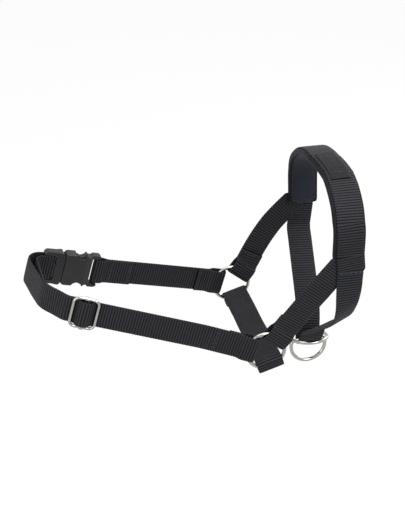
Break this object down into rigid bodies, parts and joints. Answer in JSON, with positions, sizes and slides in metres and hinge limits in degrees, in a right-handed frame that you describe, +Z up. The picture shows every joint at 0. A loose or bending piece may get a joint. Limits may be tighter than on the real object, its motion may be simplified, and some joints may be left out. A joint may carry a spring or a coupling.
{
  "type": "head halter",
  "caption": "Dog head halter: padded nose band with cheek, chin and neck straps on round rings, slide adjuster, side-release buckle and lead ring.",
  "frame": {"origin": "underside of the nose pad's crest, where it rests on the bridge of the nose, in the middle plane", "axes": "+X forward to the nose, +Y the wearer's left, +Z up"},
  "size_m": [0.2392, 0.118, 0.1807],
  "materials": {
    "webbing": "ribbed nylon webbing",
    "binding": "woven tape",
    "foam": "closed-cell foam",
    "lining": "soft knit, navy",
    "label": "woven label, bare",
    "nickel": "polished nickel plate",
    "moulding": "fine-grained acetal"
  },
  "bodies": {
    "nose_band": {"nose_strap": "webbing", "pad_foam": "foam", "pad_lining": "lining", "pad_binding": "binding", "label": "label", "cheek_strap_left": "webbing", "cheek_strap_right": "webbing"},
    "cheek_ring_left": {"cheek_ring_left": "nickel"},
    "cheek_ring_right": {"cheek_ring_right": "nickel"},
    "neck_band": {"neck_strap_left": "webbing", "neck_strap_right": "webbing", "buckle_housing": "moulding"},
    "slider": {"slider_frame": "nickel", "slider_bar": "nickel"},
    "buckle_plug": {"buckle_plug": "moulding"},
    "latch_arm_upper": {"latch_arm_upper": "moulding"},
    "latch_arm_lower": {"latch_arm_lower": "moulding"},
    "chin_strap": {"chin_strap": "webbing"},
    "slide_ring": {"slide_ring": "nickel"},
    "lead_ring": {"lead_ring": "nickel"}
  },
  "joints": [
    {"name": "cheek_ring_left_turn", "type": "hinge", "parent": "nose_band", "child": "cheek_ring_left", "pos_m": [-0.0538, 0.052, -0.1259], "axis": [0, 1, 0], "continuous": true},
    {"name": "cheek_ring_right_turn", "type": "hinge", "parent": "nose_band", "child": "cheek_ring_right", "pos_m": [-0.0538, -0.052, -0.1259], "axis": [0, 1, 0], "continuous": true},
    {"name": "neck_swing", "type": "hinge", "parent": "nose_band", "child": "neck_band", "pos_m": [-0.0538, 0, -0.1259], "axis": [0, 1, 0], "range_deg": [-6, 3]},
    {"name": "chin_swing", "type": "hinge", "parent": "nose_band", "child": "chin_strap", "pos_m": [-0.0538, 0, -0.1259], "axis": [0, 1, 0], "range_deg": [-4, 4]},
    {"name": "slider_shift", "type": "slide", "parent": "neck_band", "child": "slider", "axis": [-0.949, 0.1736, 0.2632], "range_m": [-0.015, 0.012], "deforming": ["neck_strap_right"]},
    {"name": "plug_slide", "type": "slide", "parent": "neck_band", "child": "buckle_plug", "axis": [-0.96, -0.0872, 0.2662], "range_m": [0, 0.025], "deforming": ["neck_strap_right", "latch_arm_upper", "latch_arm_lower"]},
    {"name": "latch_upper_press", "type": "hinge", "parent": "buckle_plug", "child": "latch_arm_upper", "pos_m": [-0.18881, 0.04061, -0.07953], "axis": [-0.084, 0.9962, 0.0233], "range_deg": [0, 7], "stiffness_Nm_per_rad": 0.02},
    {"name": "latch_lower_press", "type": "hinge", "parent": "buckle_plug", "child": "latch_arm_lower", "pos_m": [-0.19341, 0.04061, -0.09611], "axis": [0.084, -0.9962, -0.0233], "range_deg": [0, 7], "stiffness_Nm_per_rad": 0.02},
    {"name": "slide_ring_rise", "type": "slide", "parent": "nose_band", "child": "slide_ring", "axis": [0, 0, 1], "range_m": [0, 0.006]},
    {"name": "lead_ring_swing", "type": "hinge", "parent": "nose_band", "child": "lead_ring", "pos_m": [0, -0.004, -0.153], "axis": [1, 0, 0], "range_deg": [-70, 48]}
  ]
}
